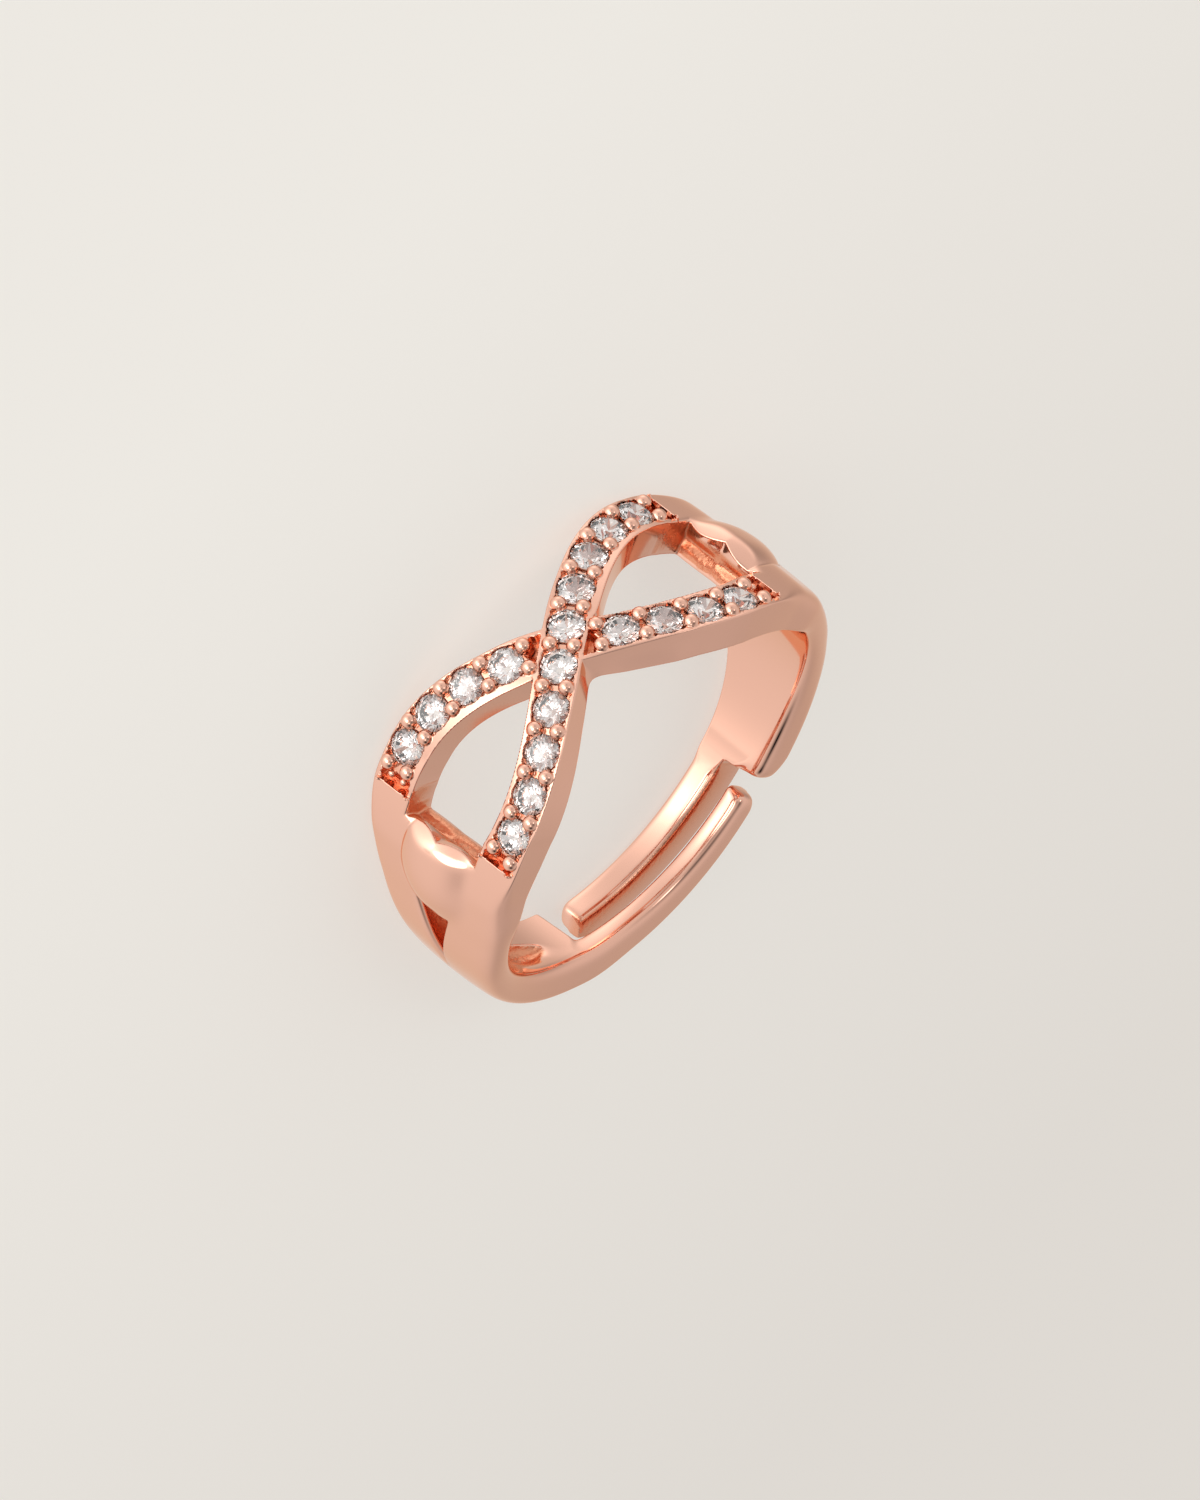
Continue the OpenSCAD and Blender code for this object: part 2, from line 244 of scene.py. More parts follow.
    def at_rest(self, points: Array) -> Array:
        """Takes points in mm from the ring's own axes to the row's, in metres."""
        return (self.turned(points) + self.shift) * MM

    def turned(self, directions: Array) -> Array:
        """Takes directions from the ring's own axes to the row's."""
        return directions @ self.tilt.T

    def upright(self, points: Array) -> Array:
        """Takes points from the row's axes, in metres, back to the ring's own, in mm."""
        return (points / MM - self.shift) @ self.tilt


@dataclass(frozen=True)
class Spots:
    """Points in one half of the ring.

    Attributes:
        deg: Angle from the crossing, 0 to 180.
        b: Distance along the finger, away from the tail's side.
        r: Radius.
        right: True on the right half.
    """

    deg: Array
    b: Array
    r: Array
    right: Array

    @classmethod
    def at(cls, points: Array) -> "Spots":
        """Takes points on the ring's own axes, in mm, one a row."""
        phi = np.degrees(np.arctan2(-points[:, 0], -points[:, 1]))
        b = np.where(phi >= 0, points[:, 2], -points[:, 2])
        return cls(np.abs(phi), b, np.hypot(points[:, 0], points[:, 1]), phi >= 0)

    @property
    def phi(self) -> Array:
        """Angle from the crossing, below zero on the left half."""
        return np.where(self.right, self.deg, -self.deg)

    @property
    def a(self) -> Array:
        """Distance along the finger, towards the front."""
        return np.where(self.right, self.b, -self.b)

    @property
    def arc(self) -> Array:
        """Length of one degree at each point's radius."""
        return np.radians(1.0) * self.r

    def side(self, pair: tuple[Array | float, Array | float]) -> Array:
        """Picks the first of a pair on the right half, and the second on the left."""
        return np.where(self.right, *pair)


@dataclass(frozen=True)
class TailShape:
    """One tail, in mm: its size, how far it is sprung outward, and how much fuller it is than the solid's."""

    width: float
    gap: float
    bend: float = 0.0
    fuller: float = 0.0
    taller: float = 0.0


@dataclass
class BandForm:
    """The cast metal as a signed distance, in mm: below zero is metal.

    A ramp is where a change starts and ends, in degrees from the crossing, or in mm where its name says so.
    Other groups of values have a comment.
    """

    size: RingSizes = field(default_factory=RingSizes)
    about_r: float = 9.0
    crown: float = 0.13
    profile_blends: Triple = (0.08, 0.05, 0.1)  # rounds, shank, head
    shoulder_swell: Bell = (0.14, 59.0, 6.5)
    right_swell: Bell = (0.14, 73.0, 9.0)
    swell_ramp_mm: Pair = (-1.5, 0.5)
    fuller: tuple[Rise, Rise] = ((0.17, 48.0, 64.0), (0.12, 78.0, 98.0))  # right, left
    front_fuller: Pair = (0.18, 0.08)  # shank, tails
    front_ramp: Pair = (58.0, 72.0)
    tails_ramp: Pair = (150.0, 165.0)

    head_round: float = 0.09
    back_round: float = 0.8
    front_round: float = 1.15
    front_taper: Pair = (95.0, 150.0)
    step_round: float = 1.0
    tail_round: float = 0.4
    facing_round: float = 0.1
    tip_round: float = 0.6
    tip_ramp: Pair = (-4.0, -1.0)
    head_inner_round: float = 0.14
    inner_round: float = 0.12
    front_inner_round: float = 0.8
    tail_inner_round: float = 0.55
    inner_ramp: Pair = (62.0, 80.0)
    tail_inner_ramp: Pair = (146.0, 152.0)

    free_corner: Pair = (0.15, 0.9)  # by the finger, outside
    step_shift: Pair = (-0.5, 0.9)  # right, left, in degrees
    step_skew: float = 0.5
    root_fillet: float = 0.35
    tail_corner: float = 0.78
    tip_corner: float = 0.3
    tail_overlap: float = 5.0
    tail_blend: float = 0.12
    tail_bend: float = 0.22
    front_tail_more: Pair = (0.08, 0.05)  # longer, thicker

    web: Pair = (0.12, 0.9)  # outside, by the finger
    notch_swell: float = 0.07
    notch_ramps: tuple[Pair, Pair] = ((2.0, 8.0), (18.0, 26.0))  # rise, fall
    strand_ramp: Pair = (4.0, 14.0)
    lean_ramp: Pair = (12.0, 36.0)
    lean_over: Pair = (0.2, 0.08)  # by the crossing, farther out
    lean_under: Pair = (0.12, -0.03)  # by the crossing, farther out
    lean_left: Pair = (-0.2, 0.03)  # away from the tail, by the tail
    trim_right: float = 0.05
    trim_left: Pair = (0.1, 0.05)  # under strand, over strand

    pillow_power: Pair = (2.8, 2.4)  # right, left
    pillow_back: float = 0.4
    pillow_half: Pair = (2.85, 2.02)  # round the ring, along the finger
    crease: Pair = (0.08, 0.5)  # weld on its own side, on the other
    crease_groove: Bell = (0.02, 0.0, 0.05)
    lip_forward: float = 0.1
    lobe: float = 0.2
    lobe_ramp_mm: Pair = (0.4, 1.1)
    scoop: Bell = (0.3, 0.78, 0.26)
    wall_slant: Pair = (0.24, 0.19)  # right, left
    wall_round: float = 0.08
    loop_corner: float = 0.2
    rim_bevel: float = 0.4
    rim_wave: float = 0.16
    rim_tilt: float = 35.0
    rim_round: float = 0.28

    slot_run: Pair = (0.3, 1.2)  # right, left
    slot_waist: Pair = (0.4, 0.52)  # share of its length, share of its width
    slot_widest: float = 1.2
    slot_corner: float = 0.25
    slot_round: Pair = (0.5, 0.1)  # away from the tail, by the tail
    groove_at: Pair = (126.0, 0.27)  # angle, distance aside
    groove_half: Triple = (1.6, 0.5, 0.5)  # long, wide, deep
    groove_round: float = 0.08

    rail_round: float = 0.05
    rail_cut: Pair = (0.025, 1.5)  # depth, degrees from one to the next
    end_bed: Pair = (0.05, 0.24)  # above the floor, and then lower by
    end_ramp_mm: Pair = (-0.5, -0.1)
    end_ridge: Triple = (0.1, 0.05, 0.3)  # height, half its width, foot below the head
    end_spike: Bell = (0.1, -0.02, 0.09)
    pocket: float = 0.35
    pocket_ramp: Pair = (5.6, 7.0)
    seat_round: float = 0.04
    bead_neck: float = 0.27
    bead_skirt: float = 0.1
    skirt_ramp_mm: Pair = (0.05, 0.35)
    bead_fillets: Pair = (0.1, 0.05)  # neck, metal
    stub: Triple = (0.34, 0.32, 0.32)  # width, distance aside, distance from the end
    stub_sunk: float = 0.04

    def __post_init__(self) -> None:
        """Works out the two tails."""
        s = self.size
        longer, taller = self.front_tail_more
        self.tails = (
            TailShape(s.back_tail_w, s.back_tail_gap, bend=self.tail_bend),
            TailShape(s.front_tail_w, s.front_tail_gap - longer, fuller=self.front_fuller[1], taller=taller))

    def top(self, deg: Array) -> Array:
        """Radius of the metal's outside, at an angle of 0 to 180 and on along a tail."""
        s = self.size
        rad = np.radians(deg)
        rounds, shank_blend, head_blend = self.profile_blends

        def off_at(c: float, r: float) -> Array:
            return c * np.cos(rad) + np.sqrt(r ** 2 - (c * np.sin(rad)) ** 2)

        shank = smooth_max(off_at(*s.fall_round), off_at(*s.rise_round), rounds)
        shank = smooth_max(shank, s.shank_r, shank_blend)
        shank = shank + bell(deg, *self.shoulder_swell)
        return smooth_min(shank, s.head_r, head_blend)

    def tip(self, tail: TailShape) -> float:
        """Angle of a tail's end, from the crossing by way of the tail's own half."""
        return 360.0 - self.size.step - self.size.bore_deg(tail.gap)

    def tail_top(self, deg: Array, tail: TailShape) -> Array:
        """Radius of a tail's outside."""
        s = self.size
        tip = self.tip(tail)
        shift = (s.step_wall - s.tail_wall) / math.cos(math.radians(90 - tip + s.step))
        rad = np.radians(deg - tip + 90)
        return shift * np.cos(rad) + np.sqrt(s.tail_r ** 2 - (shift * np.sin(rad)) ** 2) + tail.taller

    def tail_bent(self, deg: Array, tail: TailShape) -> Array:
        """How far a tail is sprung outward, from its root to its tip."""
        return tail.bend * ease(deg, self.size.step, 360.0 - self.size.step)

    def tail_plan(self, p: Spots, half: Array | float, tail: TailShape) -> Array:
        """A tail's outline, seen along the radius, with its outer side at half."""
        s = self.size
        inner = smooth_max(p.b + s.shank_half - tail.width, (p.deg - self.tip(tail)) * p.arc, self.tip_corner)
        plan = smooth_max(inner, -p.b - half, self.tail_corner)
        return np.maximum(plan, (s.step - self.tail_overlap - p.deg) * p.arc)

    def facing(self, b: Array, width: Array | float) -> Array:
        """1 on the half of a tail that faces the other tail, and 0 on its outer half."""
        middle = width / 2 - self.size.shank_half
        return ease(b, middle - 0.1, middle + 0.1)

    def half_width(self, deg: Array, r: Array) -> Array:
        """Half of the band's width, with a fuller web in the crossing's notches near the finger."""
        s = self.size
        line = s.line(deg)
        outside, inside = self.web
        web = mix(inside, outside, ease(r, s.bore_r, s.head_r - 0.2))
        head = smooth_max(line, -line, web) + s.strand_w / 2 * s.widen(deg)
        start = 0.9 * s.peak
        share = 0.5 + 0.5 * np.cos(np.pi * np.clip((deg - start) / (s.step - start), 0.0, 1.0))
        taper = mix(s.shank_half, s.peak_half, share)
        joined = s.peak + 1.0
        return np.where(deg > joined, taper, mix(head, taper, ease(deg, s.peak - 3.0, joined)))

    def along_strand(self, deg: Array) -> Array:
        """1 along the strands, and 0 at the crossing and past the loops."""
        s = self.size
        return stretch(deg, self.strand_ramp, (s.peak - 2.0, s.corner + 4.0))

    def true_half(self, p: Spots) -> Array:
        """Half of the band's width, with the small changes along its strands and its front."""
        s = self.size
        on_shank, on_tails = self.front_fuller
        full = on_shank * ease(p.deg, *self.front_ramp) + (on_tails - on_shank) * ease(p.deg, *self.tails_ramp)
        half = self.half_width(p.deg, p.r) + full * ease(p.a, 0.0, 0.4)
        back, front = ease(-p.a, 0.0, 0.5), ease(p.a, 0.0, 0.5)
        under, over = self.trim_left
        half = half - self.along_strand(p.deg) * p.side((self.trim_right * back, under * back + over * front))
        inside = front * (1.0 - ease(p.r, s.bore_r, s.head_r - 0.3))
        return half + p.side((self.notch_swell, 0.0)) * inside * stretch(p.deg, *self.notch_ramps)

    def lean(self, p: Spots) -> Array:
        """How far a loop's edge is moved along the finger, towards where the photo has it."""
        out = ease(p.deg, *self.lean_ramp)
        on_right = np.where(p.b < 0, mix(*self.lean_over, out), mix(*self.lean_under, out))
        return self.along_strand(p.deg) * p.side((on_right, np.where(p.b > 0, *self.lean_left)))

    def loop_half(self, deg: Array) -> Array:
        """Half of a loop's width between its strands, below zero where they meet."""
        s = self.size
        inner = s.line(deg) - s.strand_w / 2 * s.widen(deg)
        at_corner = s.line(s.corner) - s.strand_w / 2 * s.widen(s.corner)
        straight = mix(at_corner, s.lip_half, (deg - s.corner) / (s.lip - s.corner))
        return np.where(deg > s.corner, straight, inner)

    def lip_wave(self, b: Array) -> Array:
        """The lip's two lobes: 1 in the middle of each, and 0 between them and at their ends."""
        return np.abs(np.sin(np.pi * b / self.size.lip_half))

    def lip_wall(self, p: Spots) -> Array:
        """Angle of the wall that closes a loop: a two-lobed lip over a hollow, slanted wall."""
        s = self.size
        depth = s.head_r - p.r
        wave = self.lip_wave(p.b)
        lobe = s.head_deg(self.lobe) * wave * (1.0 - 0.8 * ease(depth, *self.lobe_ramp_mm))
        slant = s.head_deg(1.0) * p.side(self.wall_slant) / s.head_wall
        hollow = s.head_deg(1.0) * mix(0.3, 1.0, wave) * bell(depth, *self.scoop)
        return s.lip - s.head_deg(self.lip_forward) + slant * depth - lobe + hollow

    def inner_edge(self, deg: Array, a: Array) -> Array:
        """Rounding along the edges of the finger hole, fuller along the front of the shank."""
        full = mix(self.inner_round, self.tail_inner_round, ease(deg, *self.tail_inner_ramp))
        full = mix(full, self.front_inner_round, ease(a, 0.2, 1.0))
        return mix(self.head_inner_round, full, ease(deg, *self.inner_ramp))

    def slot_plan(self, p: Spots) -> Array:
        """Outline of a slot, whose tip runs on inside the band."""
        s = self.size
        inside = 1.0 - ease(p.r, s.bore_r, s.shank_r - 0.05)
        tip = s.slot_tip + np.degrees(p.side(self.slot_run) / s.bore_r) * inside
        waist_at, waist_share = self.slot_waist
        waist = mix(s.slot, s.slot_tip, waist_at)
        waist_half = waist_share * s.slot_half
        first = mix(s.slot_half, waist_half, (p.deg - s.slot) / (waist - s.slot))
        last = waist_half * (tip - p.deg) / (tip - waist)
        side = np.abs(p.b) - smooth_max(first, last, self.slot_corner)
        side = np.maximum(side, np.abs(p.b) - self.slot_widest * s.slot_half)
        return smooth_max(side, (s.slot - p.deg) * p.arc, self.slot_corner)

    def groove(self, p: Spots) -> Array:
        """The groove that is scooped in the bore, past the left slot."""
        long, wide, deep = self.groove_half
        at, aside = self.groove_at
        out = np.sqrt(((p.deg - at) * p.arc / long) ** 2 + ((p.b + aside) / wide) ** 2
                      + ((p.r - self.size.bore_r) / deep) ** 2)
        return (out - 1.0) * deep

    def pillow(self, solid: Array, p: Spots) -> Array:
        """Swells the flat cushion behind a loop's lip, with a fine crease on its far side."""
        s = self.size
        arc = (p.deg - s.head_deg(s.pillow_reach - self.pillow_back)) * np.radians(1.0) * s.shank_r
        long, wide = self.pillow_half
        rise = s.pillow_rise * (1.0 - np.hypot(arc / long, p.b / wide) ** p.side(self.pillow_power))
        near, far = self.crease
        top = p.r - s.shank_r - rise
        made = smooth_min(solid, top, mix(near, far, ease(-p.b, -0.6, 0.6)))
        return made + bell(solid - top, *self.crease_groove) * (np.abs(made) < 0.4) * ease(p.b, 0.1, 0.6)

    def lip(self, solid: Array, p: Spots) -> Array:
        """Bevels the pillow's edge above a loop, in two lobes."""
        s = self.size
        behind = (p.deg - s.lip + s.head_deg(self.lip_forward)) * p.arc
        bevel = self.rim_bevel * (1.0 - (p.b / s.lip_half) ** 4) * mix(1.0 - self.rim_wave, 1.0, self.lip_wave(p.b))
        tilt = math.radians(self.rim_tilt)
        rim = solid * math.cos(tilt) + (bevel - behind) * math.sin(tilt)
        rim = np.minimum(rim, np.minimum(s.lip_half + 0.02 - np.abs(p.b), behind + 1.0))
        return smooth_max(solid, rim, self.rim_round)

    def plan(self, p: Spots, half: Array) -> Array:
        """The band's outline seen along the radius, with its step and its tail."""
        s = self.size
        side = np.abs(p.b) - half
        sharp, full = self.free_corner
        corner = p.side((full, mix(sharp, full, ease(p.r, s.bore_r + 0.15, s.shank_r))))
        step = s.step + p.side(self.step_shift) + p.side((0.0, self.step_skew)) * (s.shank_half - p.b)
        band = smooth_max(side, (p.deg - step) * p.arc, corner)
        tail = p.side(tuple(self.tail_plan(p, half, tail) for tail in self.tails))
        joined = np.where(p.deg > s.step - 12.0, smooth_min(band, tail, self.root_fillet), side)
        return np.maximum(joined, -p.b - half)

    def outside(self, p: Spots, plan: Array, half: Array) -> Array:
        """Distance from the band's outside, which falls a little towards its edges."""
        s = self.size
        width = p.side((s.back_tail_w, s.front_tail_w))
        shank = ease(p.deg, s.channel_end - 6.0, s.slot + 4.0)
        on_tail = ease(p.deg, s.step - 4.0, s.step + 3.0)
        bar = mix(half, width / 2, ease(p.deg, s.step - 4.0, s.step + 4.0))
        edge = 1.0 - np.clip(-plan / bar, 0.0, 1.0)
        full = p.side(tuple(more * ease(p.deg, *ramp) for more, *ramp in self.fuller))
        swell = bell(p.deg, *self.right_swell) * ease(p.a, *self.swell_ramp_mm) * p.right
        top_r = self.top(p.deg) + full + swell
        back, front = self.tails
        front = replace(front, gap=s.front_tail_gap)  # its outside runs on from the solid's own tip
        tail_r = p.side((self.tail_top(p.deg, back), self.tail_top(p.deg, front)))
        top_r = np.where(p.deg > 120.0, smooth_min(top_r, tail_r, self.tail_blend), top_r)
        return p.r - top_r + self.crown * shank * edge * edge * (1.0 - on_tail * self.facing(p.b, width))

    def edge_round(self, p: Spots) -> Array:
        """Rounding along the edges of the band's outside."""
        s = self.size
        front = mix(self.front_round, self.tail_round, ease(p.deg, *self.front_taper))
        rolled = mix(self.back_round, front, ease(p.a, -0.4, 0.4))
        k = mix(self.head_round, rolled, ease(p.deg, s.channel_end - 1.0, s.channel_end + 15.0))
        facing = self.facing(p.b, p.side((s.back_tail_w, s.front_tail_w)))
        k = mix(k, mix(self.tail_round, self.facing_round, facing), ease(p.deg, s.step - 4.0, s.step + 3.0))
        at_step = ease(p.deg, s.step - 8.0, s.step - 2.0) * ease(p.b, -0.2, 0.4) * p.right
        return mix(k, self.step_round, at_step)

    def half_field(self, p: Spots) -> Array:
        """One half of the ring from the crossing to its tail's end, without stones' seats and beads."""
        p = replace(p, r=p.r - p.side(tuple(self.tail_bent(p.deg, tail) for tail in self.tails)))
        half = self.true_half(p)
        plan = self.plan(p, half)
        solid = smooth_max(plan, self.outside(p, plan, half), self.edge_round(p))
        solid = self.lip(self.pillow(solid, p), p)
        wall = (p.deg - self.lip_wall(p)) * p.arc
        loop = smooth_max(np.abs(p.b - self.lean(p)) - self.loop_half(p.deg), wall, self.loop_corner)
        solid = smooth_max(solid, -loop, self.wall_round)
        far, near = self.slot_round
        solid = smooth_max(solid, -self.slot_plan(p), mix(far, near, ease(-p.b, -0.2, 0.2)))
        solid = np.where(p.right, solid, smooth_max(solid, -self.groove(p), self.groove_round))
        return smooth_max(solid, self.size.bore_r - p.r, self.inner_edge(p.deg, p.a))

    def other_tail(self, p: Spots) -> Array:
        """The tail that reaches over from the other half."""
        s = self.size
        far = Spots(360.0 - p.deg, -p.b, p.r, ~p.right)
        found = []
        for tail in self.tails:
            t = replace(far, r=far.r - self.tail_bent(far.deg, tail))
            plan = self.tail_plan(t, s.shank_half + tail.fuller, tail)
            edge = 1.0 - np.clip(-plan / (tail.width / 2), 0.0, 1.0)
            facing = self.facing(t.b, tail.width)
            top = t.r - self.tail_top(t.deg, tail) + self.crown * edge * edge * (1.0 - facing)
            k = mix(self.tail_round, self.facing_round, facing)
            k = mix(k, self.tip_round, ease(t.deg - self.tip(tail), *self.tip_ramp))
            found.append(smooth_max(smooth_max(plan, top, k), s.bore_r - t.r, self.inner_edge(t.deg, t.a)))
        return far.side(tuple(found))

    def channels(self, solid: Array, p: Spots) -> Array:
        """Cuts the sunk channels along both strands, and raises a ridge at their ends."""
        s = self.size
        widen, line = s.widen(p.deg), s.line(p.deg)
        over, under = np.abs(p.b + line) / widen, np.abs(p.b - line) / widen
        strand = np.minimum(over, under)
        deep, every = self.rail_cut
        half = s.strand_w / 2 - s.rail_w + deep * np.cos(2.0 * np.pi * p.deg / every)
        past = (p.deg - s.channel_end) * p.arc
        higher, lower = self.end_bed
        bed = s.floor_r + higher - lower * ease(past, *self.end_ramp_mm)
        tall, wide, foot = self.end_ridge
        tall = tall + bell(strand - half, *self.end_spike)
        ridge = np.maximum(np.abs(past - wide) - wide, strand - half - 0.1)
        ridge = np.maximum(ridge, np.maximum(p.r - s.head_r - tall, s.head_r - foot - p.r))
        solid = smooth_min(solid, ridge, 0.06)
        solid = smooth_max(solid, -np.maximum(over - half, np.maximum(past, bed - p.r)), self.rail_round)
        low = np.maximum(past, bed - p.r) - self.pocket * (1.0 - ease(p.deg, *self.pocket_ramp))
        cut = np.maximum(np.maximum(under - half, s.strand_w / 2 - over), np.maximum(past, low))
        return smooth_max(solid, -cut, self.rail_round)

    def around(self, points: Array, phi: Array, deg: float, at: float, reach: float) -> tuple[Array, Array, Array]:
        """Picks the points near a line along the radius.

        Args:
            points: Points on the ring's own axes.
            phi: Their angles.
            deg: Angle of the line.
            at: Its place along the finger.
            reach: How far from the line it picks.

        Returns:
            The points' numbers, their distances from the line and their heights along it.
        """
        aside = np.abs(phi - deg) * math.radians(1) * self.about_r
        pick = np.flatnonzero((aside < reach) & (np.abs(points[:, 2] - at) < reach))
        v = points[pick] - np.array([0.0, 0.0, at])
        height = v @ np.array([-math.sin(math.radians(deg)), -math.cos(math.radians(deg)), 0.0])
        return pick, np.sqrt(np.maximum((v * v).sum(axis=1) - height ** 2, 0.0)), height

    def seats(self, solid: Array, points: Array, phi: Array) -> Array:
        """Cuts the stones' seats."""
        s = self.size
        wide = s.stone_d / 2 + s.seat_gap
        ledge = s.girdle_r - s.stone_girdle - s.seat_gap
        slope = math.radians(s.pavilion_deg)
        for flip, distance in [(-1, d) for d in s.over_places()] + [(1, d) for d in s.under_places()]:
            deg = s.place(distance)
            at = flip * float(s.line(deg))
            pick, rho, z = self.around(points, phi, deg, at, 1.1)
            cone = (ledge - (wide - rho) * math.tan(slope) - z) * math.cos(slope)
            cut = np.minimum(np.maximum(rho - wide, cone), rho - s.azure_r)
            solid[pick] = smooth_max(solid[pick], -cut, self.seat_round)
        return solid

    def beads(self, solid: Array, points: Array, phi: Array) -> Array:
        """Raises the beads that grip the stones."""
        s = self.size
        ball_r = s.head_r + s.bead_rise - s.bead_d / 2
        on_neck, on_metal = self.bead_fillets
        for strand, distance in s.bead_places():
            flip = strand.value
            deg = s.place(distance)
            turn = flip * math.atan(float(s.slope(deg)))
            for side in (-1, 1):
                at_deg = deg - side * s.head_deg(s.bead_side * math.sin(turn))
                at = flip * float(s.line(deg)) + side * s.bead_side * math.cos(turn)
                pick, rho, z = self.around(points, phi, at_deg, at, 0.6)
                ball = np.sqrt(rho ** 2 + (z - ball_r) ** 2) - s.bead_d / 2
                flare = self.bead_neck + self.bead_skirt * ease(ball_r - z, *self.skirt_ramp_mm) ** 2
                neck = np.maximum(rho - flare, np.maximum(z - ball_r, s.floor_r - 0.2 - z))
                solid[pick] = smooth_min(solid[pick], smooth_min(ball, neck, on_neck), on_metal)
        return solid

    def stubs(self, solid: Array, points: Array, phi: Array) -> Array:
        """Raises the small stub beads in the channels' ends."""
        s = self.size
        wide, side, beyond = self.stub
        ball_r = s.head_r - self.stub_sunk - wide / 2
        for strand in Strand:
            for end in (-1, 1):
                deg = end * (s.channel_end - s.head_deg(beyond / float(s.widen(s.channel_end))))
                for across in (-side, side):
                    at = strand.value * float(s.line(deg)) + across
                    pick, rho, z = self.around(points, phi, deg, at, 0.5)
                    ball = np.sqrt(rho ** 2 + (z - ball_r) ** 2) - wide / 2
                    neck = np.maximum(rho - wide / 2, np.maximum(z - ball_r, s.floor_r - 0.3 - z))
                    solid[pick] = smooth_min(solid[pick], np.minimum(ball, neck), self.seat_round)
        return solid

    def distance(self, points: Array) -> Array:
        """Signed distance of points on the ring's own axes.

        Args:
            points: Points in mm, one a row.

        Returns:
            One distance for each point.
        """
        s = self.size
        p = Spots.at(points)
        solid = self.half_field(p)
        head = np.flatnonzero(p.deg < s.channel_end + 3.0)
        if len(head):
            part = self.channels(solid[head], Spots.at(points[head]))
            for dress in (self.seats, self.beads, self.stubs):
                part = dress(part, points[head], p.phi[head])
            solid[head] = part
        back = np.flatnonzero(p.deg > s.step - 8.0)
        if len(back):
            solid[back] = np.minimum(solid[back], self.other_tail(Spots.at(points[back])))
        return solid

    def direction(self, points: Array, step: float = 0.004) -> Array:
        """Outward direction of the distance at each point, with its steepness."""
        corners = np.array([[1, 1, 1], [1, -1, -1], [-1, 1, -1], [-1, -1, 1]], float)
        total = np.zeros_like(points)
        for corner in corners:
            total += corner * self.distance(points + step * corner)[:, None]
        return total / (4.0 * step)


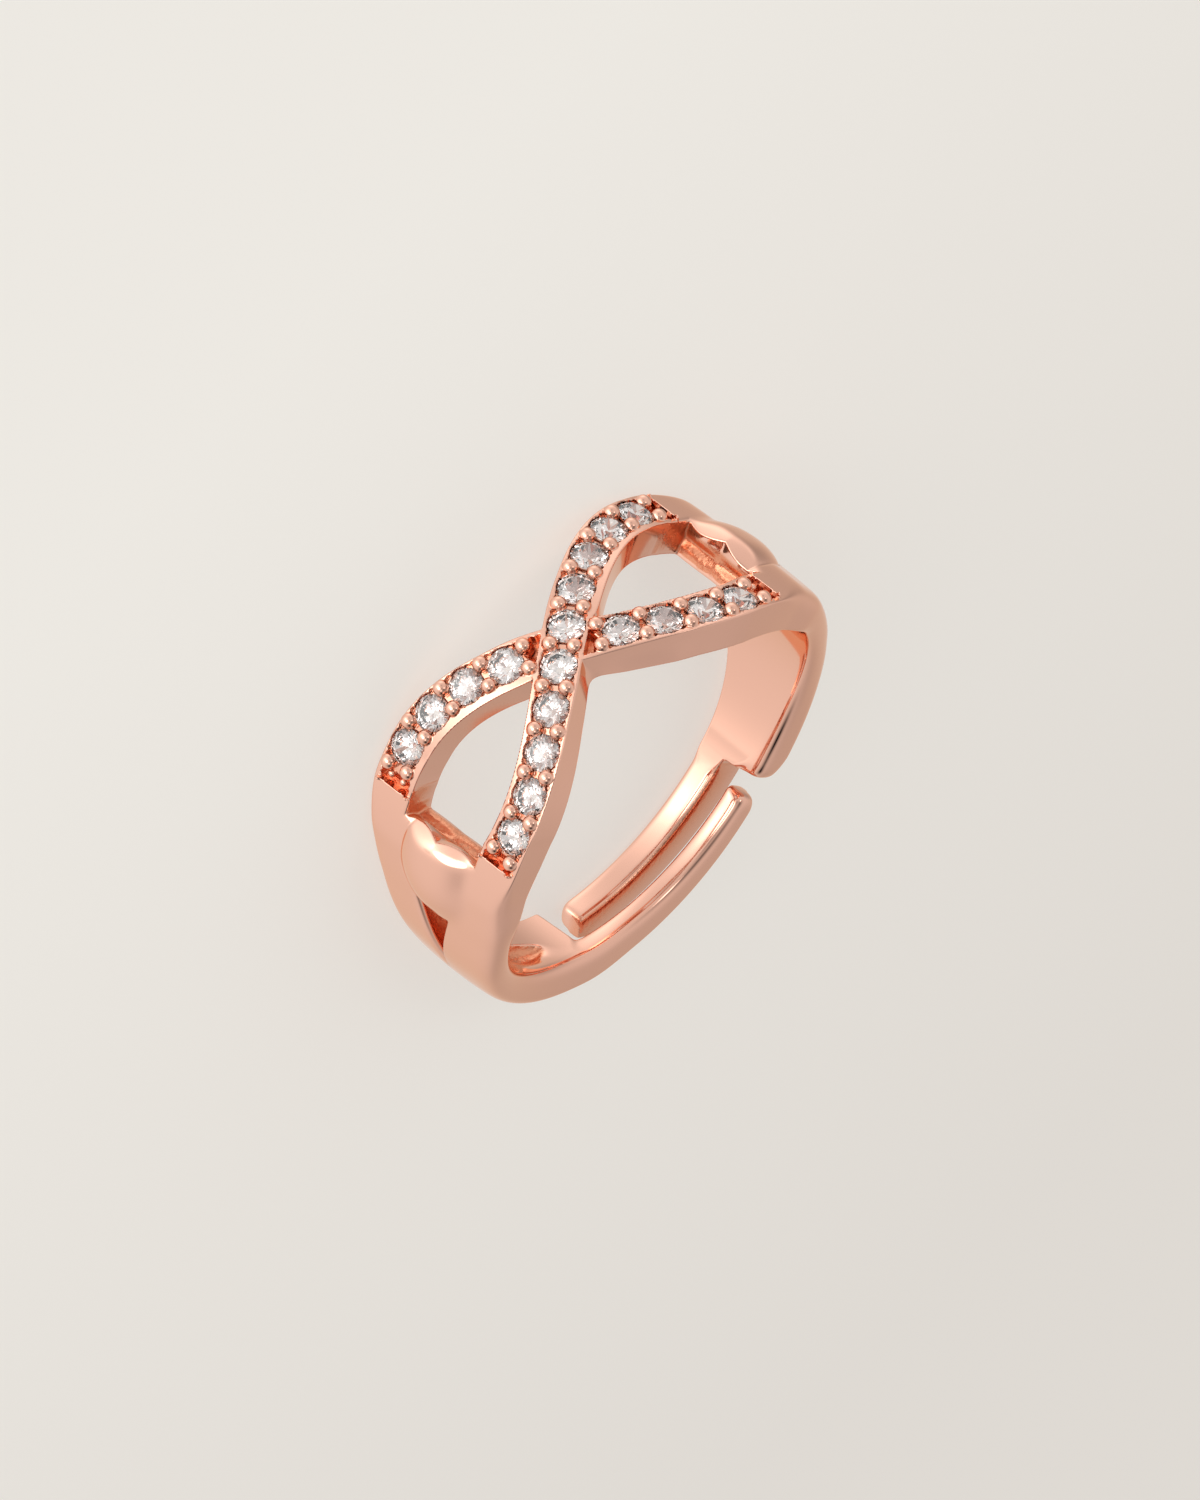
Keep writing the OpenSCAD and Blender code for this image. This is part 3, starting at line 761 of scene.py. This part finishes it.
@dataclass
class RoughCastAndShade:
    """Where the metal is left rough and painted with shade, as shares from 0 where it is polished to 1 in the
    recesses. The same share darkens its colour as painted shade in the channels, under the lips, in the slots and
    the groove, and between the tails.

    An arc is about the length of one degree at a place, in mm.
    """

    form: BandForm
    floor_rough_and_shade: float = 0.25
    end_rough_and_shade: float = 0.45
    facing_rough_and_shade: float = 0.75
    bore_arc: float = 0.15
    lip_arc: float = 0.17

    def floor(self, p: Spots) -> Array:
        """The channels' floors, mostly at their ends and by the crossing, rough and darkened there as painted shade.
        """
        s = self.form.size
        widen, line = s.widen(p.deg), s.line(p.deg)
        over = np.abs(p.b + line) / widen
        strand = np.minimum(over, np.abs(p.b - line) / widen)
        below = 1 - ease(p.r, s.head_r - 0.16, s.head_r - 0.05)
        inside = (strand < s.strand_w / 2 - s.rail_w + 0.03) * (p.deg < s.channel_end + 1)
        ends = self.end_rough_and_shade * ease(p.deg, s.channel_end - 4.0, s.channel_end - 2.5)
        pockets = (1 - ease(p.deg, 5.8, 7.2)) * (over > s.strand_w / 2 - 0.03)
        share = mix(self.floor_rough_and_shade, 1.0, np.maximum(ends, pockets))
        return below * inside * ease(p.r, s.floor_r - 0.5, s.floor_r - 0.4) * share

    def groove(self, p: Spots) -> Array:
        """The groove in the bore, past the left slot, rough and darkened as painted shade."""
        s = self.form.size
        at, aside = self.form.groove_at
        long, wide, _ = self.form.groove_half
        out = ((p.deg - at) * self.bore_arc / long) ** 2 + ((p.b + aside) / wide) ** 2
        deep = ease(p.r, s.bore_r + 0.02, s.bore_r + 0.08) * (p.r < s.bore_r + 0.6)
        return (1 - ease(out, 0.9, 1.2)) * deep * ~p.right

    def wall(self, p: Spots) -> Array:
        """The walls under the lips, and the loops' corners beside them, rough and darkened as painted shade."""
        s = self.form.size
        off = np.abs((p.deg - self.form.lip_wall(p)) * self.lip_arc)
        wall = (1 - ease(off, 0.3, 0.5)) * (np.abs(p.b) < s.lip_half + 0.15)
        wall = wall * (1 - ease(p.r, s.head_r - 0.4, s.head_r - 0.25))
        corner = 1 - ease(np.abs(np.abs(p.b) - self.form.loop_half(p.deg)), 0.1, 0.2)
        corner = corner * ease(p.deg, s.peak, s.corner + 2) * (p.deg < s.lip + 2)
        return np.maximum(wall, corner * (1 - ease(p.r, s.head_r - 0.2, s.head_r - 0.05)))

    def slot(self, p: Spots) -> Array:
        """The slots' walls, rough and darkened as painted shade."""
        s = self.form.size
        inside = (np.abs(p.b) < s.slot_half + 0.05) * (p.deg > s.slot - 1) * (p.deg < s.slot_tip + 3)
        return inside * (1 - ease(p.r, s.shank_r - 0.5, s.shank_r - 0.2))

    def facing(self, p: Spots, along: Array) -> Array:
        """The tails' sides that face each other, and the back tail's end, rough and darkened as painted shade in the
        gap between them.
        """
        s = self.form.size
        a = p.a
        back, front = s.back_tail_w - s.shank_half, s.shank_half - s.front_tail_w
        towards = np.where(a < (back + front) / 2, along, -along)
        facing = ease(towards, 0.35, 0.7) * (a > back - 0.4) * (a < front + 0.4)
        off = np.abs(p.phi + 360.0 - self.form.tip(self.form.tails[0]))
        end = (1 - ease(off, 0.8, 1.6)) * (a < back + 0.1) * ease(a, -0.9, -0.5)
        return np.maximum(facing, end) * (p.deg > s.step + 1) * (1 - ease(p.r, s.tail_r + 0.05, s.tail_r + 0.2))

    def share(self, points: Array, along: Array) -> Array:
        """How rough the metal is left, and how far painted shade darkens it.

        Args:
            points: Points on the ring's own axes.
            along: How far the surface faces along the finger at each, from -1 to 1.

        Returns:
            One share for each point.
        """
        p = Spots.at(points)
        walls = np.maximum(self.floor(p), np.maximum(self.wall(p), self.slot(p)))
        rough = walls * (p.r > self.form.size.bore_r + 0.15)
        rough = np.maximum(rough, self.facing_rough_and_shade * self.facing(p, along))
        return np.clip(np.maximum(rough, self.groove(p)), 0.0, 1.0)


@dataclass
class BandSkin:
    """The band's visible mesh, drawn over its form. Its steps are in degrees, but the one across is in mm."""

    form: BandForm
    marks: RoughCastAndShade
    head_step: float = 0.3
    slot_step: float = 0.55
    shank_step: float = 1.0
    step_step: float = 0.35
    tail_step: float = 0.8
    head_end: float = 64.0
    shank_end: float = 112.0
    across_step: float = 0.055
    block: int = 40
    longest_move: float = 0.05
    most_triangles: int = 194000

    def angles(self) -> Array:
        """Angles of the grid, once round the ring."""
        s = self.form.size
        half = ((self.head_end, self.slot_step), (self.shank_end, self.shank_step),
                (s.step - 4.0, self.step_step), (s.step + 12.0, self.tail_step), (180.0, 0.0))
        left = [(-deg, step) for (deg, _), (_, step) in zip(half[:0:-1], half[-2::-1])]
        stops = (*left, (-self.head_end, self.head_step), *half)
        out = []
        for (start, step), (end, _) in zip(stops, stops[1:]):
            count = int(math.ceil((end - start) / step))
            out.append(start + (end - start) * np.arange(count) / count)
        return np.concatenate(out)

    def grid(self) -> tuple[Array, Array, Array]:
        """The grid's angles, places along the finger and radii."""
        s = self.form.size
        wide = s.peak_half + 0.15
        across = np.linspace(-wide, wide, int(2 * wide / self.across_step) + 1)
        radii = np.concatenate([
            np.arange(s.bore_r - 0.13, s.bore_r + 0.2, 0.05), np.arange(s.bore_r + 0.22, 9.5, 0.08),
            np.arange(9.5, s.shank_r + s.pillow_rise + 0.15, 0.05)])
        return self.angles(), across, radii

    def sample(self, phi: Array, a: Array, r: Array) -> Array:
        """Distances on the whole grid."""
        out = np.empty((len(phi), len(a), len(r)), np.float32)
        grid_a, grid_r = (g.ravel() for g in np.meshgrid(a, r, indexing="ij"))
        for start in range(0, len(phi), self.block):
            part = np.radians(phi[start:start + self.block])
            x = (-np.sin(part)[:, None] * grid_r).ravel()
            y = (-np.cos(part)[:, None] * grid_r).ravel()
            z = np.broadcast_to(grid_a, (len(part), len(grid_a))).ravel()
            values = self.form.distance(np.stack([x, y, z], axis=1))
            out[start:start + self.block] = values.reshape(len(part), len(a), len(r))
        return out

    def net(self) -> tuple[Array, Array]:
        """Draws a net of quads through the grid's cells that the surface crosses.

        Returns:
            The points on the ring's own axes, and the quads.
        """
        phi, a, r = self.grid()
        values = self.sample(phi, a, r)
        n_phi, n_a, n_r = values.shape
        inside = values < 0
        wrap = np.concatenate([inside, inside[:1]], axis=0)
        corners = [(i, j, k) for i in (0, 1) for j in (0, 1) for k in (0, 1)]
        count = np.zeros((n_phi, n_a - 1, n_r - 1), np.int8)
        for i, j, k in corners:
            count += wrap[i:n_phi + i, j:n_a - 1 + j, k:n_r - 1 + k]
        live = np.argwhere((count > 0) & (count < 8))
        index = np.full(count.shape, -1, np.int64)
        index[live[:, 0], live[:, 1], live[:, 2]] = np.arange(len(live))

        at = {c: values[(live[:, 0] + c[0]) % n_phi, live[:, 1] + c[1], live[:, 2] + c[2]].astype(float)
              for c in corners}
        total, hits = np.zeros((len(live), 3)), np.zeros(len(live))
        for c in corners:
            for axis in range(3):
                if c[axis]:
                    continue
                d = tuple(v + (axis == n) for n, v in enumerate(c))
                crossed = (at[c] < 0) != (at[d] < 0)
                t = np.where(crossed, at[c] / np.where(crossed, at[c] - at[d], 1.0), 0.0)
                total += crossed[:, None] * (np.array(c) + t[:, None] * np.eye(3)[axis])
                hits += crossed
        cell = live + total / hits[:, None]
        long_phi = np.append(phi, phi[0] + 360.0)
        angle = np.radians(np.interp(cell[:, 0], np.arange(n_phi + 1), long_phi))
        radius = np.interp(cell[:, 2], np.arange(n_r), r)
        along = np.interp(cell[:, 1], np.arange(n_a), a)
        points = np.stack([-radius * np.sin(angle), -radius * np.cos(angle), along], axis=1)
        return points, self.quads(wrap, index)

    @staticmethod
    def quads(wrap: Array, index: Array) -> Array:
        """Joins the four cells round each crossed edge of the grid.

        Args:
            wrap: Whether each grid point is in the metal, with the first angle again at the end.
            index: Number of each cell's point.

        Returns:
            The quads, with their fronts outward.
        """
        n_phi = index.shape[0]
        found = []
        for axis in range(3):
            first = np.delete(wrap, -1, axis)
            edges = np.argwhere(first != np.delete(wrap, 0, axis))
            if axis != 0:
                edges = edges[edges[:, 0] < n_phi]
            u, v = [n for n in range(3) if n != axis]
            cells = []
            for du, dv in ((-1, -1), (0, -1), (0, 0), (-1, 0)):
                c = edges.copy()
                c[:, u] += du
                c[:, v] += dv
                c[:, 0] %= n_phi
                cells.append(index[c[:, 0], c[:, 1], c[:, 2]])
            quad = np.stack(cells, axis=1)
            flip = first[edges[:, 0], edges[:, 1], edges[:, 2]]
            if axis == 1:
                flip = ~flip
            quad[flip] = quad[flip][:, ::-1]
            found.append(quad)
        return np.concatenate(found)

    def settle(self, points: Array, rounds: int = 3) -> Array:
        """Moves points onto the form's surface."""
        for _ in range(rounds):
            slope = self.form.direction(points)
            steep = np.maximum((slope ** 2).sum(axis=1), 0.25)
            move = slope * (self.form.distance(points) / steep)[:, None]
            length = np.linalg.norm(move, axis=1, keepdims=True)
            points = points - move * np.minimum(1.0, self.longest_move / np.maximum(length, 1e-9))
        return points

    def build(self, name: str) -> bpy.types.Object:
        """Makes the band's object, as it lies at rest.

        Args:
            name: The object's name.

        Returns:
            The object, linked to the scene.
        """
        s = self.form.size
        points, quads = self.net()
        points = self.settle(points)
        mesh = bpy.data.meshes.new(name)
        mesh.from_pydata(s.at_rest(points).tolist(), [], quads.tolist())
        mesh.update()
        shown = bpy.data.objects.new(name, mesh)
        bpy.context.scene.collection.objects.link(shown)
        count = 2 * len(quads)
        log.info("%s: %d points, %d triangles before thinning", name, len(points), count)
        if count > self.most_triangles:
            thin = shown.modifiers.new("thin", "DECIMATE")
            thin.ratio = self.most_triangles / count
            graph = bpy.context.evaluated_depsgraph_get()
            thinned = bpy.data.meshes.new_from_object(shown.evaluated_get(graph))
            shown.modifiers.clear()
            shown.data = thinned
            bpy.data.meshes.remove(mesh)
            mesh = thinned
            mesh.name = name
        self.smooth(mesh)
        return shown

    def smooth(self, mesh: bpy.types.Mesh) -> None:
        """Gives the mesh the form's own normals and marks its rough cast places, which the material also darkens as
        painted shade.
        """
        s = self.form.size
        flat = np.empty(len(mesh.vertices) * 3, np.float32)
        mesh.vertices.foreach_get("co", flat)
        points = self.settle(s.upright(flat.reshape(-1, 3).astype(float)), 1)
        mesh.vertices.foreach_set("co", s.at_rest(points).astype(np.float32).ravel())
        slope = self.form.direction(points)
        slope /= np.maximum(np.linalg.norm(slope, axis=1, keepdims=True), 1e-9)
        mesh.polygons.foreach_set("use_smooth", np.ones(len(mesh.polygons), bool))
        mesh.update()
        mesh.normals_split_custom_set_from_vertices(s.turned(slope).tolist())
        # The cast share: rough metal, and painted shade in the recesses and between the tails
        cast = self.marks.share(points, slope[:, 2])
        rough_and_shade = mesh.attributes.new("cast", "FLOAT", "POINT")
        rough_and_shade.data.foreach_set("value", cast.astype(np.float32))


class Graph:
    """Builds the nodes of a material, or of the room."""

    def __init__(self, owner: bpy.types.Material | bpy.types.World) -> None:
        owner.use_nodes = True
        self.nodes, self.links = owner.node_tree.nodes, owner.node_tree.links

    def place(self, kind: str) -> Socket:
        """Texture coordinates of a kind."""
        return self.nodes.new("ShaderNodeTexCoord").outputs[kind]

    def noise(self, place: Socket, scale: float, detail: float) -> Socket:
        """A noise over a place."""
        node = self.nodes.new("ShaderNodeTexNoise")
        node.inputs["Scale"].default_value = scale
        node.inputs["Detail"].default_value = detail
        self.links.new(place, node.inputs["Vector"])
        return node.outputs["Fac"]

    def remap(self, value: Socket, start: Pair = (0.0, 1.0), end: Pair = (0.0, 1.0), smooth: bool = False) -> Socket:
        """Takes a value from one range to another, eased at both ends when smooth."""
        node = self.nodes.new("ShaderNodeMapRange")
        if smooth:
            node.interpolation_type = "SMOOTHSTEP"
        for name, amount in zip(("From Min", "From Max", "To Min", "To Max"), (*start, *end)):
            node.inputs[name].default_value = amount
        self.links.new(value, node.inputs["Value"])
        return node.outputs["Result"]

    def blend(self, share: Socket, low: Colour, high: Colour) -> Socket:
        """Goes from one colour to another."""
        node = self.nodes.new("ShaderNodeMix")
        node.data_type = "RGBA"
        node.inputs["A"].default_value = (*low, 1.0)
        node.inputs["B"].default_value = (*high, 1.0)
        self.links.new(share, node.inputs["Factor"])
        return node.outputs["Result"]

    def reckon(self, operation: str, first: Socket, second: Socket | float | None = None) -> Socket:
        """Does a sum with one or two values."""
        node = self.nodes.new("ShaderNodeMath")
        node.operation = operation
        self.links.new(first, node.inputs[0])
        if isinstance(second, float):
            node.inputs[1].default_value = second
        elif second is not None:
            self.links.new(second, node.inputs[1])
        return node.outputs["Value"]


@dataclass(frozen=True)
class RoseGold:
    """Polished pink gold over cast metal, rougher where the polisher can't reach, and painted a deeper, darker
    orange there as painted shade in the recesses.
    """

    name: str = "rose_gold_polish"
    colour: Colour = (0.875, 0.505, 0.385)
    # deep: the colour the cast share blends to, painted shade for recesses, creases and the gap between the tails
    deep: Colour = (0.8, 0.34, 0.2)
    edge: Colour = (1.0, 0.83, 0.7)
    roughness: Pair = (0.09, 0.3)
    grain: float = 5200.0
    grain_height: float = 0.00006
    grain_strength: Pair = (0.015, 0.55)
    ripple: float = 260.0
    ripple_range: Pair = (0.3, 0.7)
    ripple_change: Pair = (-0.02, 0.03)

    def material(self) -> bpy.types.Material:
        """Makes the material."""
        made = bpy.data.materials.new(self.name)
        graph = Graph(made)
        shader = graph.nodes["Principled BSDF"]
        shader.inputs["Metallic"].default_value = 1.0
        shader.inputs["Specular Tint"].default_value = (*self.edge, 1.0)
        place = graph.place("Object")
        attribute = graph.nodes.new("ShaderNodeAttribute")
        attribute.attribute_name = "cast"
        rough_and_shade = attribute.outputs["Fac"]
        # The cast share blends the colour towards deep: painted shade in the recesses, while it also roughens the
        # metal
        graph.links.new(graph.blend(rough_and_shade, self.colour, self.deep), shader.inputs["Base Color"])

        rough = graph.remap(rough_and_shade, end=self.roughness)
        ripple = graph.remap(graph.noise(place, self.ripple, 2.0), self.ripple_range, self.ripple_change)
        graph.links.new(graph.reckon("ADD", rough, ripple), shader.inputs["Roughness"])

        grain = graph.nodes.new("ShaderNodeBump")
        grain.inputs["Distance"].default_value = self.grain_height
        graph.links.new(graph.remap(rough_and_shade, end=self.grain_strength), grain.inputs["Strength"])
        graph.links.new(graph.noise(place, self.grain, 3.0), grain.inputs["Height"])
        graph.links.new(grain.outputs["Normal"], shader.inputs["Normal"])
        return made


@dataclass(frozen=True)
class ClearStone:
    """A cut clear stone whose facets that face some ways are painted darker, painted shade standing in for a stone's
    dark reflections; its clear colour is tinted pink, painting in the pink seat seen through it.
    """

    name: str = "clear_cut_stone"
    # bright: clear colour, tinted pink to paint in the seat seen through; shade: painted shade for the darker facets
    bright: Colour = (0.99, 0.93, 0.915)
    shade: Colour = (0.4, 0.24, 0.21)
    index: float = 2.17
    haze: float = 900.0
    haze_range: Pair = (0.45, 0.8)
    roughness: Pair = (0.0, 0.015)
    turn: float = 3.4
    painted_shade_range: Pair = (0.39, 0.44)

    def material(self) -> bpy.types.Material:
        """Makes the material."""
        made = bpy.data.materials.new(self.name)
        graph = Graph(made)
        shader = graph.nodes["Principled BSDF"]
        shader.inputs["Transmission Weight"].default_value = 1.0
        shader.inputs["IOR"].default_value = self.index
        haze = graph.noise(graph.place("Object"), self.haze, 2.0)
        graph.links.new(graph.remap(haze, self.haze_range, self.roughness), shader.inputs["Roughness"])
        # A noise over each facet's direction paints some facets dark: painted shade and reflection
        facet = graph.nodes.new("ShaderNodeNewGeometry").outputs["True Normal"]
        share = graph.remap(graph.noise(facet, self.turn, 0.0), self.painted_shade_range)
        graph.links.new(graph.blend(share, self.shade, self.bright), shader.inputs["Base Color"])
        return made


@dataclass
class Band:
    """The cast band."""

    size: RingSizes
    finish: RoseGold = RoseGold()

    def build(self) -> bpy.types.Object:
        """Builds and dresses the band, and sets it in the solid's place."""
        form = BandForm(self.size)
        shown = BandSkin(form, RoughCastAndShade(form)).build("band_metal")
        shown.data.materials.append(self.finish.material())
        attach(shown, "root")
        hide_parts("ring_band")
        log.info("%s: %d triangles", shown.name, len(shown.data.polygons))
        return shown


@dataclass
class SetStones:
    """The set stones, which keep their own facets."""

    finish: ClearStone = ClearStone()

    def dress(self) -> None:
        """Gives every stone its finish."""
        made = self.finish.material()
        for name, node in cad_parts.items():
            if name.startswith("stone_"):
                node.data.materials.clear()
                node.data.materials.append(made)
                log.info("%s: dressed", name)


@dataclass(frozen=True)
class Glow:
    """A bright or dark patch of the studio round the ring, by its direction and half width in degrees."""

    name: str
    azimuth: float
    elevation: float
    half: float
    gain: float
    crisp: bool = False

    def towards(self) -> Triple:
        """Direction of its middle, with azimuth 0 along -Y."""
        az, el = math.radians(self.azimuth), math.radians(self.elevation)
        return math.sin(az) * math.cos(el), -math.cos(az) * math.cos(el), math.sin(el)

    def cosine(self, share: float = 1.0) -> float:
        """Cosine of its half width, or of a share of it."""
        return math.cos(math.radians(share * self.half))

    def level(self, graph: Graph, place: Socket) -> Socket:
        """Its light over the room: crisp, or a soft bell that is halved at its half width."""
        cosine = graph.nodes.new("ShaderNodeVectorMath")
        cosine.label = self.name
        cosine.operation = "DOT_PRODUCT"
        cosine.inputs[1].default_value = self.towards()
        graph.links.new(place, cosine.inputs[0])
        value = cosine.outputs["Value"]
        if self.crisp:
            value = graph.remap(value, (self.cosine(1.2), self.cosine(0.8)), smooth=True)
        else:
            value = graph.reckon("SUBTRACT", value, 1.0)
            value = graph.reckon("MULTIPLY", value, math.log(2.0) / (1.0 - self.cosine()))
            value = graph.reckon("EXPONENT", value)
        return graph.reckon("MULTIPLY", value, self.gain)


@dataclass
class Studio:
    """The floor, the soft light and the camera.

    The camera's directions are on the ring's own axes, and its distance and look values are in mm.
    """

    size: RingSizes
    distance: float = 1500.0
    pixels_per_mm: float = 25.62
    to_camera: Triple = (0.2275, -0.8698, 0.4377)
    image_right: Triple = (-0.6751, 0.183, 0.7146)
    image_down: Triple = (0.7017, 0.4581, 0.5456)
    look_right: float = -0.3888
    look_down: float = -0.5757
    sensor: float = 36.0
    frame_height: int = 1500
    floor_half: float = 3.0
    floor_drop: float = 0.01
    floor_colour: Colour = (0.96, 0.93, 0.875)
    # The floor's glow fades towards this colour away from the camera: a painted fall-off of light
    floor_painted_falloff: Colour = (0.78, 0.74, 0.695)
    floor_run: Pair = (-0.03, 0.045)
    floor_glow: float = 0.6
    floor_matt: float = 0.4
    room_colour: Colour = (1.0, 0.985, 0.965)
    room_level: float = 0.86
    glows: tuple[Glow, ...] = (
        Glow("front window", 28.0, -24.0, 22.0, 1.35),
        Glow("left window", -62.0, -38.0, 18.0, 0.75),
        Glow("side card", 95.0, -20.0, 40.0, 0.08),
        Glow("far dark side", -108.0, -12.0, 24.0, -0.4),
        Glow("dark back", 176.0, 12.0, 34.0, -0.3),
        Glow("dark ceiling", 0.0, 75.0, 22.0, -0.65),
        Glow("dark gap", -15.0, 8.0, 10.0, -0.35),
        Glow("window post", 52.0, -24.0, 8.0, -0.32, True),
        Glow("camera shade", 16.0, 34.0, 8.0, -0.4),
        Glow("left spark", -30.0, 55.0, 5.0, 3.0),
        Glow("right spark", 60.0, 45.0, 5.0, 3.0),
        Glow("window core", 22.0, -19.0, 8.0, 0.9),
        Glow("bead light", 37.0, 9.0, 18.0, 2.2, True),
        Glow("dark corner", 108.0, 40.0, 20.0, -0.85),
        Glow("tail light", -79.0, -4.0, 11.0, 0.25),
    )

    def camera(self) -> None:
        """Sets the camera at the photograph's angle to the ring."""
        s = self.size
        axes = s.turned(np.array([self.image_right, [-v for v in self.image_down], self.to_camera]))
        u, _, v = np.linalg.svd(axes)
        axes = u @ v
        centre = s.at_rest(np.zeros((1, 3)))[0]
        target = centre + (self.look_right * axes[0] - self.look_down * axes[1]) * MM
        data = bpy.data.cameras.new("view")
        data.sensor_width = self.sensor
        data.lens = self.sensor * self.distance * self.pixels_per_mm / self.frame_height
        data.clip_start, data.clip_end = 0.01, 20.0
        camera = bpy.data.objects.new("view", data)
        bpy.context.scene.collection.objects.link(camera)
        turn = Matrix([list(row) for row in axes.T])
        camera.matrix_world = Matrix.Translation(
            Vector(target + axes[2] * self.distance * MM)) @ turn.to_4x4()
        bpy.context.scene.camera = camera

    def floor_finish(self) -> bpy.types.Material:
        """Makes the floor's pale, glowing material, whose glow is painted darker away from the camera as a painted
        fall-off of light.
        """
        made = bpy.data.materials.new("pale_floor")
        graph = Graph(made)
        shader = graph.nodes["Principled BSDF"]
        shader.inputs["Base Color"].default_value = (*(self.floor_matt * c for c in self.floor_colour), 1.0)
        shader.inputs["Roughness"].default_value = 0.9
        shader.inputs["Specular IOR Level"].default_value = 0.0
        shader.inputs["Emission Strength"].default_value = self.floor_glow
        along = graph.nodes.new("ShaderNodeSeparateXYZ")
        graph.links.new(graph.place("Object"), along.inputs["Vector"])
        share = graph.remap(along.outputs["Y"], self.floor_run)
        graph.links.new(graph.blend(share, self.floor_colour, self.floor_painted_falloff), shader.inputs["Emission Color"])
        return made

    def floor(self) -> None:
        """Lays the pale floor, lit from beneath as a photographer's light table is."""
        mesh = bpy.data.meshes.new("floor")
        wide = self.floor_half
        mesh.from_pydata([(-wide, -wide, 0), (wide, -wide, 0), (wide, wide, 0), (-wide, wide, 0)], [],
                         [(0, 1, 2, 3)])
        floor = bpy.data.objects.new("floor", mesh)
        floor.location.z = -self.floor_drop * MM
        floor.visible_glossy = False
        bpy.context.scene.collection.objects.link(floor)
        mesh.materials.append(self.floor_finish())

    def light(self) -> None:
        """Lights the room with soft glows and shades on its walls."""
        world = bpy.data.worlds.new("room")
        bpy.context.scene.world = world
        graph = Graph(world)
        back = graph.nodes["Background"]
        back.inputs["Color"].default_value = (*self.room_colour, 1.0)
        place = graph.place("Generated")
        total = self.room_level
        for glow in self.glows:
            total = graph.reckon("ADD", glow.level(graph, place), total)
        graph.links.new(total, back.inputs["Strength"])

    def build(self) -> None:
        """Builds the studio."""
        self.camera()
        self.floor()
        self.light()
        bpy.context.scene.view_settings.view_transform = "Standard"
        bpy.context.scene.view_settings.look = "None"


def main() -> None:
    """Builds the ring's visible pieces and the studio."""
    logging.basicConfig(level=logging.INFO, format="%(name)s %(message)s")
    size = RingSizes()
    Studio(size).build()
    Band(size).build()
    SetStones().dress()


if __name__ == "__main__":
    main()
